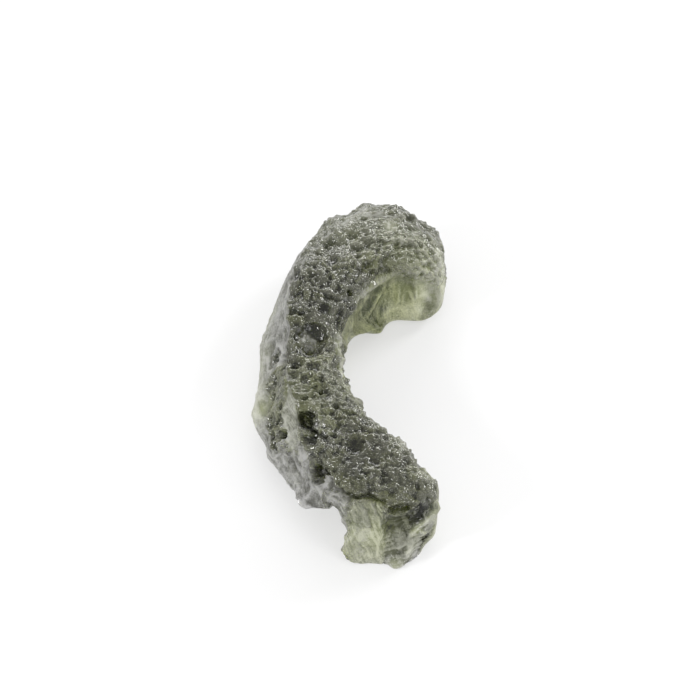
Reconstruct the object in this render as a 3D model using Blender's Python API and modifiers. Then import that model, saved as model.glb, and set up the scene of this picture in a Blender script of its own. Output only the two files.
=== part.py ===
"""Moldavite: a crescent of natural green glass, about 41 mm long, lying on its flat spots.

The stone is one solid. Its body is a coarse cage of rings carried along a curved line and
smoothed by Subdivision Surface. The scoops, lumps, pits and flat spots of the real stone are
then worked into the smoothed mesh, each as a named feature with its own place and size.

Lengths in the tables are millimetres. The stone lies on z = 0. The upper arm is at +Y, the
broken end at -Y, and the bay of the crescent opens towards +X.
"""
import bpy
import numpy as np

MM = 0.001

STONE_NAME = "moldavite"
RING_COUNT = 21
RING_POINTS = 12
SMOOTH_LEVELS = 2
GLASS_COLOUR = (0.082, 0.094, 0.058, 0.55)
GLASS_ROUGHNESS = 0.28

# The tables are drawn about their own plan origin. The part's is under the middle of its box.
PLAN_ORIGIN = (0.37, 1.72)
WEAR_FLAT = 0.30
UNDERSIDE_CURVE = 0.45

# The middle of the stone, from the tip of the upper arm to the broken end: one row a station.
# x, y        place of the station, in plan
# turn        the way its section faces, from the outer wall to the bay, in degrees from +X
# out, inn    half widths to the outer wall and to the bay
# belly       height of the widest point of the outer wall
# inset, at   how far the outer shoulder stands in from that wall, and its height
# top         height of the crown
# rim, at     how far the inner rim stands in from the bay wall, and its height
# swell       height of the widest point of the bay wall
# foot, foot  how far the underside stands in from the outer wall and from the bay wall
# sole        height of the underside
# lean        how far the foot runs ahead of the crown, along the stone
STATIONS = (
    # x      y     turn   out  inn  belly inset at  top  rim  at  swell foot foot sole lean
    (8.60, 15.40, 270.0, 3.90, 3.70, 4.0, 0.9, 5.8, 6.4, 0.6, 5.4, 2.0, 1.5, 0.7, 0.6, 0.0),
    (7.40, 15.80, 270.0, 4.80, 4.30, 4.1, 1.1, 6.4, 7.1, 0.9, 6.4, 1.8, 2.0, 0.7, 0.2, 0.0),
    (5.60, 16.10, 271.0, 5.50, 4.90, 4.2, 1.4, 6.9, 7.7, 0.9, 7.0, 1.8, 2.4, 0.7, 0.0, 0.0),
    (3.20, 16.30, 279.0, 6.00, 5.50, 4.3, 1.5, 7.0, 8.1, 1.4, 7.2, 1.8, 2.6, 0.8, 0.1, 0.0),
    (0.60, 15.30, 295.0, 5.50, 6.70, 4.3, 1.5, 7.0, 8.3, 2.2, 7.2, 1.8, 2.2, 0.9, 0.4, 0.0),
    (-1.70, 13.00, 314.0, 4.60, 6.30, 4.2, 1.4, 6.9, 8.3, 1.7, 7.1, 1.9, 1.7, 1.2, 0.6, 0.0),
    (-3.30, 9.80, 332.0, 4.00, 5.50, 4.0, 1.5, 6.8, 8.1, 1.0, 7.0, 3.0, 1.6, 1.8, 0.8, 0.0),
    (-4.10, 6.20, 348.0, 4.10, 4.80, 3.6, 2.1, 6.7, 7.8, 0.8, 6.9, 3.8, 1.6, 1.8, 0.5, 0.0),
    (-4.40, 2.60, 358.0, 4.10, 4.20, 3.2, 2.6, 6.6, 7.5, 0.8, 6.6, 4.2, 1.6, 1.8, 0.1, 0.0),
    (-4.20, -1.00, 9.0, 4.10, 4.30, 2.8, 2.0, 6.5, 7.7, 0.9, 6.5, 4.4, 1.7, 1.8, 0.0, 0.0),
    (-3.20, -4.60, 20.0, 5.00, 5.00, 2.8, 2.1, 6.5, 7.9, 1.0, 6.6, 4.6, 2.0, 1.9, 0.4, 0.0),
    (-1.40, -7.80, 29.0, 5.10, 5.10, 3.2, 2.5, 6.7, 8.1, 1.0, 6.7, 4.6, 2.4, 1.9, 0.8, 0.0),
    (0.70, -10.80, 32.0, 5.50, 5.60, 4.2, 2.4, 6.9, 8.1, 1.1, 6.7, 4.4, 2.8, 1.9, 0.7, 0.0),
    (2.40, -13.30, 27.0, 5.20, 5.90, 4.6, 1.7, 7.0, 7.9, 1.2, 6.6, 4.2, 2.6, 1.8, 0.2, 0.2),
    (3.60, -15.50, 16.0, 4.60, 5.20, 3.8, 1.2, 6.9, 7.5, 1.2, 6.5, 3.8, 1.4, 1.6, 0.0, 0.7),
    (4.00, -16.90, 8.0, 4.30, 4.20, 2.8, 0.9, 6.5, 7.0, 1.0, 6.1, 3.4, 0.6, 0.9, 0.0, 1.2),
)

# How each end closes: cage rings as a share of the last ring, and how far beyond it, then the pole.
TIP_CAP = ((0.78, 0.75), (0.40, 1.00), (0.00, 1.05))
END_CAP = ((0.93, 0.45), (0.52, 0.60), (0.00, 0.60))

# Scoops that chipped or dissolved out of the stone. Each is a ball pressed in at a point of the
# surface: x, y, z of that point, the radius of the ball and the depth it reaches.
SCOOPS = (
    # the round crater on the crown, and the smaller bowls beside it
    (-3.6, 2.7, 7.5, 2.30, 0.85),
    (-2.2, 6.6, 7.9, 0.90, 0.35),
    (0.7, -10.6, 8.0, 1.50, 0.45),
    (-3.9, -6.9, 7.4, 1.40, 0.90),
    (-3.5, -8.6, 7.3, 1.20, 0.80),
    # the pocket at the foot of the crown's lower left edge
    (-2.8, -12.3, 6.6, 1.10, 0.70),
    # dimples in the outer wall
    (-7.7, 4.3, 4.8, 1.40, 0.40),
    (-7.0, 9.0, 4.6, 3.50, 0.15),
    (-8.6, -2.0, 4.9, 2.20, 0.75),
    (-8.0, -4.6, 4.6, 1.80, 0.55),
    (-6.2, -9.2, 4.8, 3.60, 0.40),
    # the undercut below the lump on the lower left flank
    (-2.9, -13.6, 1.6, 2.60, 1.70),
    (-0.6, -15.6, 2.2, 1.90, 0.80),
    # curved flake scars on the bay wall of the upper arm
    (1.9, 9.2, 4.0, 4.20, 0.50),
    (4.9, 11.2, 4.2, 3.40, 0.55),
    (8.0, 11.9, 4.2, 2.60, 0.45),
    (-0.2, 5.6, 3.4, 3.20, 0.45),
    # notches between the lobes of the bay edge of the lower arm
    (-0.3, 0.6, 5.6, 1.70, 0.70),
    (2.9, -6.3, 5.6, 1.60, 1.00),
    (7.1, -11.4, 5.6, 1.70, 1.05),
    # the hollow of the broken end, and the smooth scallop beside it
    (5.6, -17.6, 4.7, 3.10, 1.15),
    (7.0, -16.6, 5.4, 1.90, 0.50),
    (2.0, -18.2, 2.4, 1.60, 0.50),
)

# Lumps that stand out: x, y, z of the middle, how far they spread and how far they rise.
LUMPS = (
    (-8.7, -1.7, 1.9, 1.00, 0.90),
    (-3.6, -14.2, 4.9, 1.10, 0.70),
    (-1.2, -15.2, 5.0, 1.00, 0.55),
    (2.0, 22.0, 5.4, 1.00, 0.50),
    (-1.6, 19.9, 5.4, 1.00, 0.50),
    (4.6, 21.8, 5.6, 1.10, 0.35),
    (9.2, 13.0, 3.4, 1.20, 0.50),
    (8.2, -13.2, 5.6, 1.10, 0.40),
    (0.4, -1.7, 5.8, 0.80, 0.45),
    (4.4, -7.9, 6.0, 1.00, 0.30),
    (4.9, -18.2, 0.9, 0.90, 0.70),
    (-5.6, 16.2, 5.2, 1.20, 0.30),
)

# Small pits strewn over the natural skin, and the broad swells between them.
PIT_SEED = 3
PIT_COUNT = 300
PIT_RADIUS = (0.75, 1.25)
PIT_DEPTH = (0.16, 0.30)
SWELL_SEED = 8
SWELL_COUNT = 90
SWELL_SPREAD = (1.0, 2.0)
SWELL_RISE = 0.28

SOFT_EDGE = 0.08


def along(rows, count):
    """Read a smooth curve through table rows at even steps of plan length.

    Between two rows the value is the Catmull-Rom cubic of the four rows about it, so the curve
    passes through every row. The steps are even in the length of the plan polyline.
    """
    rows = np.array(rows, float)
    rows[:, 2] = np.degrees(np.unwrap(np.radians(rows[:, 2])))
    fine = 24
    last = len(rows) - 1
    t = np.linspace(0.0, last, last * fine + 1)
    i = np.minimum(t.astype(int), last - 1)
    f = (t - i)[:, None]
    padded = np.vstack([2 * rows[0] - rows[1], rows, 2 * rows[-1] - rows[-2]])
    a, b, c, d = padded[i], padded[i + 1], padded[i + 2], padded[i + 3]
    curve = b + 0.5 * f * (c - a + f * (2 * a - 5 * b + 4 * c - d + f * (3 * (b - c) + d - a)))
    steps = np.hypot(*np.diff(curve[:, :2], axis=0).T)
    length = np.concatenate([[0.0], np.cumsum(steps)])
    even = np.linspace(0.0, length[-1], count)
    return np.stack([np.interp(even, length, column) for column in curve.T], axis=1)


def section(row):
    """Give the twelve points of one section, as distance across and height.

    They run from the middle of the underside up the outer wall, over the crown and down the
    bay wall, so that the first and last are neighbours.
    """
    out, inn, belly, inset, inset_z, top, rim, rim_z, swell, foot_out, foot_in, sole = row
    across = (
        -0.10 * out,
        -out + foot_out,
        -out + 0.30 * foot_out,
        -out,
        -out + inset,
        -0.45 * (out - 0.4 * inset),
        0.10 * inn,
        0.60 * (inn - 0.5 * rim),
        inn - rim,
        inn - 0.35 * rim,
        inn,
        inn - foot_in,
    )
    height = (
        sole,
        sole + UNDERSIDE_CURVE,
        sole + 0.50 * (belly - sole),
        belly,
        inset_z,
        top - 0.25,
        top,
        top - 0.20,
        rim_z,
        0.5 * (rim_z + swell),
        swell,
        sole + 0.5 * UNDERSIDE_CURVE,
    )
    return across, height


def body_points():
    """Set the sections along the middle line, and give the points of every ring."""
    table = along(STATIONS, RING_COUNT)
    turn = np.radians(table[:, 2])
    inward = np.stack([np.cos(turn), np.sin(turn)], axis=1)
    heading = np.stack([inward[:, 1], -inward[:, 0]], axis=1)
    rings = np.zeros((RING_COUNT, RING_POINTS, 3))
    for ring, row in enumerate(table):
        across, height = section(row[3:15])
        lean = row[15] * (1.0 - 2.0 * np.asarray(height) / row[8])
        place = row[:2] + np.outer(across, inward[ring]) + np.outer(lean, heading[ring])
        rings[ring, :, :2] = place
        rings[ring, :, 2] = height
    return rings


def cage_through(rings):
    """Work back from points on the stone to the cage whose smoothed surface meets them.

    A smoothed cage passes through one sixth of each neighbour and four sixths of the point
    itself, round the ring and along the stone. That mean is a matrix each way, so solving both
    gives the cage.
    """
    count, points = rings.shape[:2]
    ring_turn = np.roll(np.eye(points), 1, axis=0)
    round_ring = (4 * np.eye(points) + ring_turn + ring_turn.T) / 6
    down_stone = (4 * np.eye(count) + np.eye(count, k=1) + np.eye(count, k=-1)) / 6
    down_stone[0] = np.eye(count)[0]
    down_stone[-1] = np.eye(count)[-1]
    cage = np.einsum("ij,jkc->ikc", np.linalg.inv(down_stone), rings)
    return np.einsum("kl,ilc->ikc", np.linalg.inv(round_ring), cage)


def end_cap(last, before, steps):
    """Give the cage rings that close an end, and its pole.

    Each step is a share of the last ring's size and a distance beyond its middle, in mm.
    """
    middle = last.mean(axis=0)
    onward = middle - before.mean(axis=0)
    onward /= np.linalg.norm(onward)
    rings = [middle + (last - middle) * share + onward * beyond for share, beyond in steps[:-1]]
    return rings, middle + onward * steps[-1][1]


def build_cage(cage):
    """Join the rings with four-sided faces, and close each end with a fan to its own pole."""
    tip_rings, tip = end_cap(cage[0], cage[1], TIP_CAP)
    end_rings, end = end_cap(cage[-1], cage[-2], END_CAP)
    cage = np.array([*tip_rings[::-1], *cage, *end_rings])
    count, points = cage.shape[:2]
    vertices = np.vstack([cage.reshape(-1, 3), tip, end]) * MM
    faces = []
    for ring in range(count - 1):
        for k in range(points):
            n = (k + 1) % points
            here, there = ring * points, (ring + 1) * points
            faces.append((here + k, there + k, there + n, here + n))
    last = (count - 1) * points
    for k in range(points):
        n = (k + 1) % points
        faces.append((count * points, k, n))
        faces.append((count * points + 1, last + n, last + k))
    mesh = bpy.data.meshes.new(STONE_NAME)
    mesh.from_pydata(vertices.tolist(), [], faces)
    return mesh


def smoothed(mesh):
    """Smooth the cage with Subdivision Surface, and give the result as a mesh of its own."""
    coarse = bpy.data.objects.new("cage", mesh)
    bpy.context.scene.collection.objects.link(coarse)
    smooth = coarse.modifiers.new("Smooth", "SUBSURF")
    smooth.levels = SMOOTH_LEVELS
    smooth.render_levels = SMOOTH_LEVELS
    graph = bpy.context.evaluated_depsgraph_get()
    fine = bpy.data.meshes.new_from_object(coarse.evaluated_get(graph))
    bpy.data.objects.remove(coarse)
    return fine


def scoop(points, normals, place, radius, depth):
    """Press a ball into the skin at the point that is nearest to place.

    The ball is pushed in along the skin's own outward line there. Every point that it meets goes
    in by the same line to the ball's underside, so a shallow press leaves a bowl with a crisp
    rim, which SOFT_EDGE rounds a little.
    """
    mouth = np.linalg.norm(points - np.array(place), axis=1).argmin()
    outward = normals[mouth]
    centre = points[mouth] + outward * (radius - depth)
    gap = points - centre
    above = gap @ outward
    aside = np.einsum("ij,ij->i", gap, gap) - above ** 2
    met = (aside < radius ** 2) & (above < 0.5 * radius)
    over = above + np.sqrt(np.maximum(radius ** 2 - aside, 0.0))
    press = SOFT_EDGE * np.logaddexp(0.0, over / SOFT_EDGE)
    return points - outward * np.where(met, press, 0.0)[:, None]


def lump(points, normals, place, spread, rise):
    """Raise the skin about place along its own outward line, in a bell of the given spread."""
    gap = np.linalg.norm(points - np.array(place), axis=1)
    return points + normals * (rise * np.exp(-0.5 * (gap / spread) ** 2))[:, None]


def strewn(rng, rings, count):
    """Pick places on the body at random, between the ring points."""
    ring = rng.uniform(0.0, len(rings) - 1.001, count)
    side = rng.uniform(0.0, RING_POINTS, count)
    i, k = ring.astype(int), side.astype(int)
    f, g = (ring - i)[:, None], (side - k)[:, None]
    n = (k + 1) % RING_POINTS
    here = rings[i, k] * (1 - g) + rings[i, n] * g
    there = rings[i + 1, k] * (1 - g) + rings[i + 1, n] * g
    return here * (1 - f) + there * f


def worked(points, normals, rings):
    """Work every feature of the skin into the points, broad ones first."""
    rng = np.random.default_rng(SWELL_SEED)
    for place in strewn(rng, rings, SWELL_COUNT):
        spread = rng.uniform(*SWELL_SPREAD)
        rise = rng.uniform(-SWELL_RISE, SWELL_RISE)
        points = lump(points, normals, place, spread, rise)
    for x, y, z, spread, rise in LUMPS:
        points = lump(points, normals, (x, y, z), spread, rise)
    rng = np.random.default_rng(PIT_SEED)
    for place in strewn(rng, rings, PIT_COUNT):
        radius = rng.uniform(*PIT_RADIUS)
        depth = rng.uniform(*PIT_DEPTH)
        points = scoop(points, normals, place, radius, depth)
    for x, y, z, radius, depth in SCOOPS:
        points = scoop(points, normals, (x, y, z), radius, depth)
    return points


def main():
    for old in list(bpy.data.objects):
        bpy.data.objects.remove(old)
    parts = bpy.data.collections.new(STONE_NAME)
    bpy.context.scene.collection.children.link(parts)

    rings = body_points()
    mesh = smoothed(build_cage(cage_through(rings)))
    points = np.empty((len(mesh.vertices), 3), np.float32)
    normals = np.empty((len(mesh.vertices), 3), np.float32)
    mesh.vertices.foreach_get("co", points.ravel())
    mesh.vertices.foreach_get("normal", normals.ravel())
    points = worked(points / MM, normals, rings)
    points[:, :2] -= PLAN_ORIGIN
    points[:, 2] = np.maximum(points[:, 2] - WEAR_FLAT, 0.0)
    mesh.vertices.foreach_set("co", (points * MM).ravel())
    mesh.update()
    mesh.shade_smooth()

    stone = bpy.data.objects.new(STONE_NAME, mesh)
    parts.objects.link(stone)
    glass = bpy.data.materials.new("green glass")
    glass.use_nodes = True
    surface = glass.node_tree.nodes["Principled BSDF"]
    surface.inputs["Base Color"].default_value = GLASS_COLOUR
    surface.inputs["Roughness"].default_value = GLASS_ROUGHNESS
    surface.inputs["Metallic"].default_value = 0.0
    mesh.materials.append(glass)


main()
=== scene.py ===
# %% [markdown]
# # A moldavite, modelled in cells
#
# Moldavite is natural glass. It was thrown out molten by a meteorite impact, and then lay for
# millions of years in sand and gravel that etched its skin. This one is a crescent about 41 mm
# long. Its crown is covered in glossy knobs and pits, its outer wall is worn to a dull grey,
# and its lower end is an old break. Each cell below adds one step and prints what it made.
#
# The stone is one surface of two numbers: how far along the crescent, and how far round it.
# Arrays hold the whole surface at once, so a pit or a scar is one line of numpy, not a loop.

# %% Load the frame
from itertools import product

import bpy
import numpy as np
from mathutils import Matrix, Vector


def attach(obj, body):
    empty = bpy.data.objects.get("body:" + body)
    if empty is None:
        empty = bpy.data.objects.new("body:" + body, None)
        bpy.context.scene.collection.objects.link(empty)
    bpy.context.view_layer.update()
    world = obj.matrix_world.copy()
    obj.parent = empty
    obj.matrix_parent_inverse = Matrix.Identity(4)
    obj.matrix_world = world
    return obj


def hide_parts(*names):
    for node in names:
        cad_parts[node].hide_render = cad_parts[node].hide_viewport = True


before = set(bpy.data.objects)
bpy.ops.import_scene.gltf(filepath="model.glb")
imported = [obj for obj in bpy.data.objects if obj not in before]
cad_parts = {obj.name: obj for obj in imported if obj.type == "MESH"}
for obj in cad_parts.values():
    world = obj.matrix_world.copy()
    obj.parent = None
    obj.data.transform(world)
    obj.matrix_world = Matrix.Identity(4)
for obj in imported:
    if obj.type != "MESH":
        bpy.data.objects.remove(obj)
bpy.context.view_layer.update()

MM = 0.001
STONE = "moldavite"

# %% [markdown]
# ## Two helpers for materials
#
# Colours are written the way a picture shows them, as sRGB hex values, and one function turns
# them into the linear light that the shader works in. A second function adds a node, sets its
# plain values and links its inputs, so that a material reads as a list of steps.


# %% Colour and node helpers
def linear(hex_colour, alpha=1.0):
    """Turn an sRGB hex colour to linear light by the sRGB curve."""
    value = np.array([int(hex_colour[i:i + 2], 16) for i in (0, 2, 4)]) / 255
    light = np.where(value <= 0.04045, value / 12.92, ((value + 0.055) / 1.055) ** 2.4)
    return (*light.tolist(), alpha)


def add(tree, kind, links=None, values=None, **settings):
    """Add a node of the given kind, set its properties and input values, and link its inputs."""
    node = tree.nodes.new("ShaderNode" + kind)
    for name, value in settings.items():
        setattr(node, name, value)
    for name, value in (values or {}).items():
        node.inputs[name].default_value = value
    for name, socket in (links or {}).items():
        tree.links.new(socket, node.inputs[name])
    return node


print("white in linear light:", linear("ffffff")[:3])

# %% [markdown]
# ## Table, light and camera
#
# The stone lies on a pale opal sheet that glows a little, so that its shadow stays light. White
# light comes evenly from a tent. Four lamps stand low about the stone: two small, strong ones to
# the left and at the back right, and two wide, weak ones at the front right and behind. A tent
# alone would be simpler, but it leaves etched glass flat. With the lamps, slopes that lean
# towards one mirror it, and slopes that face the viewer stay dark. The view is from the front at
# about 50 degrees, through a long lens, so there is hardly any perspective.

# %% Floor and tent
FLOOR_SIZE = 4.0
SHEET_TINT = "b2b2b2"
SHEET_GLOW = 0.47
TENT_TINT = "ffffff"
TENT_LIGHT = 0.68

bpy.ops.mesh.primitive_plane_add(size=FLOOR_SIZE)
floor = bpy.context.object
floor.name = "white_table"
# Opal plastic with a sanded face: no gloss at all, and nearly white under the tent.
opal = bpy.data.materials.new("opal sheet, lit from below")
opal.use_nodes = True
matt = opal.node_tree.nodes["Principled BSDF"]
matt.inputs["Base Color"].default_value = linear(SHEET_TINT)
matt.inputs["Emission Color"].default_value = linear(TENT_TINT)
matt.inputs["Emission Strength"].default_value = SHEET_GLOW
matt.inputs["Roughness"].default_value = 0.9
matt.inputs["Specular IOR Level"].default_value = 0.0
floor.data.materials.append(opal)

tent = bpy.data.worlds.new("tent")
tent.use_nodes = True
sky = tent.node_tree.nodes["Background"]
sky.inputs["Color"].default_value = linear(TENT_TINT)
sky.inputs["Strength"].default_value = TENT_LIGHT
bpy.context.scene.world = tent
bpy.context.scene.view_settings.view_transform = "Standard"
print("floor and tent ready")

# %% Lamps
LAMPS = (
    # name, place in m, size in m, radiance in W/m2/sr
    ("softbox left", (-0.72, -0.24, 0.36), (0.22, 0.18), 34.0),
    ("softbox back right", (0.62, 0.50, 0.36), (0.24, 0.20), 25.0),
    ("fill front right", (0.55, -0.52, 0.36), (0.50, 0.40), 4.0),
    ("panel behind", (-0.05, 0.90, 0.36), (0.90, 0.22), 8.0),
)
for name, place, size, radiance in LAMPS:
    lamp = bpy.data.lights.new(name, "AREA")
    lamp.shape = "RECTANGLE"
    lamp.size, lamp.size_y = size
    lamp.energy = radiance * np.pi * size[0] * size[1]
    box = bpy.data.objects.new(name, lamp)
    box.location = place
    box.rotation_euler = (-Vector(place)).to_track_quat("-Z", "Y").to_euler()
    bpy.context.scene.collection.objects.link(box)
    print(name, round(lamp.energy, 2), "W")

# %% Camera
# The photograph's frame is 700 by 700 pixels. Its centre falls on AIM, and the stone is drawn
# at PIXELS_PER_MM there.
PHOTO_PIXELS = 700
PIXELS_PER_MM = 10.3
AIM = np.array([-0.07, 2.88, 3.70]) * MM
ELEVATION = np.radians(50.0)
DISTANCE = 0.350
SENSOR = 36.0

camera = bpy.data.objects.new("camera", bpy.data.cameras.new("camera"))
towards = np.array([0.0, np.cos(ELEVATION), -np.sin(ELEVATION)])
camera.location = AIM - towards * DISTANCE
camera.rotation_euler = Vector(towards).to_track_quat("-Z", "Y").to_euler()
camera.data.sensor_width = SENSOR
camera.data.lens = PIXELS_PER_MM * DISTANCE / MM * SENSOR / PHOTO_PIXELS
camera.data.clip_start = 0.01
camera.data.dof.use_dof = False
bpy.context.scene.collection.objects.link(camera)
bpy.context.scene.camera = camera
print("lens", round(camera.data.lens, 1), "mm")

# %% [markdown]
# ## The body of the stone
#
# A curved, lopsided body could be sculpted by hand, or lofted from sections like a ship's hull.
# The hull way is used here: sixteen stations along the middle line say how wide, how high and
# how rounded the stone is there, so each number can be checked against the real thing.

# %% Stations
# x, y        place of the station, in plan, in mm
# turn        the way its section faces, from the outer wall to the bay, in degrees from +X
# out, inn    half widths to the outer wall and to the bay
# belly       height of the widest point of the outer wall
# inset, at   how far the outer shoulder stands in from that wall, and its height
# top         height of the crown
# rim, at     how far the inner rim stands in from the bay wall, and its height
# swell       height of the widest point of the bay wall
# foot, foot  how far the underside stands in from the outer wall and from the bay wall
# sole        height of the underside
# lean        how far the foot runs ahead of the crown, along the stone
STATIONS = (
    # x      y     turn   out  inn  belly inset at  top  rim  at  swell foot foot sole lean
    (8.60, 15.40, 270.0, 3.90, 3.70, 4.0, 0.9, 5.8, 6.4, 0.6, 5.4, 2.0, 1.5, 0.7, 0.6, 0.0),
    (7.40, 15.80, 270.0, 4.80, 4.30, 4.1, 1.1, 6.4, 7.1, 0.9, 6.4, 1.8, 2.0, 0.7, 0.2, 0.0),
    (5.60, 16.10, 271.0, 5.50, 4.90, 4.2, 1.4, 6.9, 7.7, 0.9, 7.0, 1.8, 2.4, 0.7, 0.0, 0.0),
    (3.20, 16.30, 279.0, 6.00, 5.50, 4.3, 1.5, 7.0, 8.1, 1.4, 7.2, 1.8, 2.6, 0.8, 0.1, 0.0),
    (0.60, 15.30, 295.0, 5.50, 6.70, 4.3, 1.5, 7.0, 8.3, 2.2, 7.2, 1.8, 2.2, 0.9, 0.4, 0.0),
    (-1.70, 13.00, 314.0, 4.60, 6.30, 4.2, 1.4, 6.9, 8.3, 1.7, 7.1, 1.9, 1.7, 1.2, 0.6, 0.0),
    (-3.30, 9.80, 332.0, 4.00, 5.50, 4.0, 1.5, 6.8, 8.1, 1.0, 7.0, 3.0, 1.6, 1.8, 0.8, 0.0),
    (-4.10, 6.20, 348.0, 4.10, 4.80, 3.6, 2.1, 6.7, 7.8, 0.8, 6.9, 3.8, 1.6, 1.8, 0.5, 0.0),
    (-4.40, 2.60, 358.0, 4.10, 4.20, 3.2, 2.6, 6.6, 7.5, 0.8, 6.6, 4.2, 1.6, 1.8, 0.1, 0.0),
    (-4.20, -1.00, 9.0, 4.10, 4.30, 2.8, 2.0, 6.5, 7.7, 0.9, 6.5, 4.4, 1.7, 1.8, 0.0, 0.0),
    (-3.20, -4.60, 20.0, 5.00, 5.00, 2.8, 2.1, 6.5, 7.9, 1.0, 6.6, 4.6, 2.0, 1.9, 0.4, 0.0),
    (-1.40, -7.80, 29.0, 5.10, 5.10, 3.2, 2.5, 6.7, 8.1, 1.0, 6.7, 4.6, 2.4, 1.9, 0.8, 0.0),
    (0.70, -10.80, 32.0, 5.50, 5.60, 4.2, 2.4, 6.9, 8.1, 1.1, 6.7, 4.4, 2.8, 1.9, 0.7, 0.0),
    (2.40, -13.30, 27.0, 5.20, 5.90, 4.6, 1.7, 7.0, 7.9, 1.2, 6.6, 4.2, 2.6, 1.8, 0.2, 0.2),
    (3.60, -15.50, 16.0, 4.60, 5.20, 3.8, 1.2, 6.9, 7.5, 1.2, 6.5, 3.8, 1.4, 1.6, 0.0, 0.7),
    (4.00, -16.90, 8.0, 4.30, 4.20, 2.8, 0.9, 6.5, 7.0, 1.0, 6.1, 3.4, 0.6, 0.9, 0.0, 1.2),
)
print(len(STATIONS), "stations")


# %% A curve through the stations
def along(rows, count):
    """Read a smooth curve through table rows at even steps of plan length.

    Between two rows the value is the Catmull-Rom cubic of the four rows about it.
    """
    rows = np.array(rows, float)
    rows[:, 2] = np.degrees(np.unwrap(np.radians(rows[:, 2])))
    steps_between = 24
    last = len(rows) - 1
    t = np.linspace(0.0, last, last * steps_between + 1)
    i = np.minimum(t.astype(int), last - 1)
    f = (t - i)[:, None]
    padded = np.vstack([2 * rows[0] - rows[1], rows, 2 * rows[-1] - rows[-2]])
    a, b, c, d = padded[i], padded[i + 1], padded[i + 2], padded[i + 3]
    curve = b + 0.5 * f * (c - a + f * (2 * a - 5 * b + 4 * c - d + f * (3 * (b - c) + d - a)))
    steps = np.hypot(*np.diff(curve[:, :2], axis=0).T)
    length = np.concatenate([[0.0], np.cumsum(steps)])
    even = np.linspace(0.0, length[-1], count)
    return np.stack([np.interp(even, length, column) for column in curve.T], axis=1)


RING_COUNT = 21
RING_POINTS = 12
table = along(STATIONS, RING_COUNT)
print("rings:", table.shape)

# %% Sections
UNDERSIDE_CURVE = 0.45


def section(row):
    """Give the twelve points of one section, as distance across and height."""
    out, inn, belly, inset, inset_z, top, rim, rim_z, swell, foot_out, foot_in, sole = row
    across = (
        -0.10 * out,
        -out + foot_out,
        -out + 0.30 * foot_out,
        -out,
        -out + inset,
        -0.45 * (out - 0.4 * inset),
        0.10 * inn,
        0.60 * (inn - 0.5 * rim),
        inn - rim,
        inn - 0.35 * rim,
        inn,
        inn - foot_in,
    )
    height = (
        sole,
        sole + UNDERSIDE_CURVE,
        sole + 0.50 * (belly - sole),
        belly,
        inset_z,
        top - 0.25,
        top,
        top - 0.20,
        rim_z,
        0.5 * (rim_z + swell),
        swell,
        sole + 0.5 * UNDERSIDE_CURVE,
    )
    return across, height


turn = np.radians(table[:, 2])
inward = np.stack([np.cos(turn), np.sin(turn)], axis=1)
heading = np.stack([inward[:, 1], -inward[:, 0]], axis=1)
rings = np.zeros((RING_COUNT, RING_POINTS, 3))
for ring, row in enumerate(table):
    across, height = section(row[3:15])
    lean = row[15] * (1.0 - 2.0 * np.asarray(height) / row[8])
    rings[ring, :, :2] = row[:2] + np.outer(across, inward[ring]) + np.outer(lean, heading[ring])
    rings[ring, :, 2] = height
print("ring points reach", rings.min((0, 1)).round(1), rings.max((0, 1)).round(1))


# %% [markdown]
# ## From sections to a smooth skin
#
# A uniform cubic B-spline is the smooth surface that Subdivision Surface tends to. It passes
# inside its cage, so the cage is first worked out from the points that the skin should meet.
# Each end closes on a pole. Beyond the pole the cage goes on with the opposite points of the
# last ring, as a sphere's rings do, and so the skin runs over the pole without a point.

# %% Cage and end caps
TIP_CAP = ((0.78, 0.75), (0.40, 1.00), (0.00, 1.05))
END_CAP = ((0.93, 0.45), (0.52, 0.60), (0.00, 0.60))


def cage_through(rings):
    """Solve for the cage whose B-spline passes through the rings.

    A B-spline passes through one sixth of each neighbour and four sixths of the point itself,
    both round the ring and along the stone, so the cage is the rings times two inverses.
    """
    count, points = rings.shape[:2]
    ring_turn = np.roll(np.eye(points), 1, axis=0)
    round_ring = (4 * np.eye(points) + ring_turn + ring_turn.T) / 6
    down_stone = (4 * np.eye(count) + np.eye(count, k=1) + np.eye(count, k=-1)) / 6
    down_stone[0] = np.eye(count)[0]
    down_stone[-1] = np.eye(count)[-1]
    cage = np.einsum("ij,jkc->ikc", np.linalg.inv(down_stone), rings)
    return np.einsum("kl,ilc->ikc", np.linalg.inv(round_ring), cage)


def end_cap(last, before, steps):
    """Give the rings that close an end, each a share of the last ring, set beyond it."""
    middle = last.mean(axis=0)
    onward = middle - before.mean(axis=0)
    onward /= np.linalg.norm(onward)
    return [middle + (last - middle) * share + onward * beyond for share, beyond in steps]


cage = cage_through(rings)
tip = end_cap(cage[0], cage[1], TIP_CAP)[::-1]
end = end_cap(cage[-1], cage[-2], END_CAP)
cage = np.array([*tip, *cage, *end])
beyond_tip = np.roll(cage[1], RING_POINTS // 2, axis=0)
beyond_end = np.roll(cage[-2], RING_POINTS // 2, axis=0)
cage = np.array([beyond_tip, *cage, beyond_end])
print("cage:", cage.shape)


# %% B-spline surface
def basis(t, count, closed):
    """Give the weight of each cage point at each t, as a matrix.

    With f the fraction between two points, the four weights are the cubic B-spline's:
    (1-f)^3, 3f^3-6f^2+4, -3f^3+3f^2+3f+1 and f^3, all over six.
    """
    i = np.minimum(np.floor(t).astype(int), count - 1 if closed else count - 4)
    f = t - i
    parts = ((1 - f) ** 3, 3 * f ** 3 - 6 * f ** 2 + 4,
             -3 * f ** 3 + 3 * f ** 2 + 3 * f + 1, f ** 3)
    weights = np.zeros((len(t), count))
    for step, part in enumerate(parts):
        at = (i + step - closed) % count
        np.add.at(weights, (np.arange(len(t)), at), part / 6)
    return weights


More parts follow.
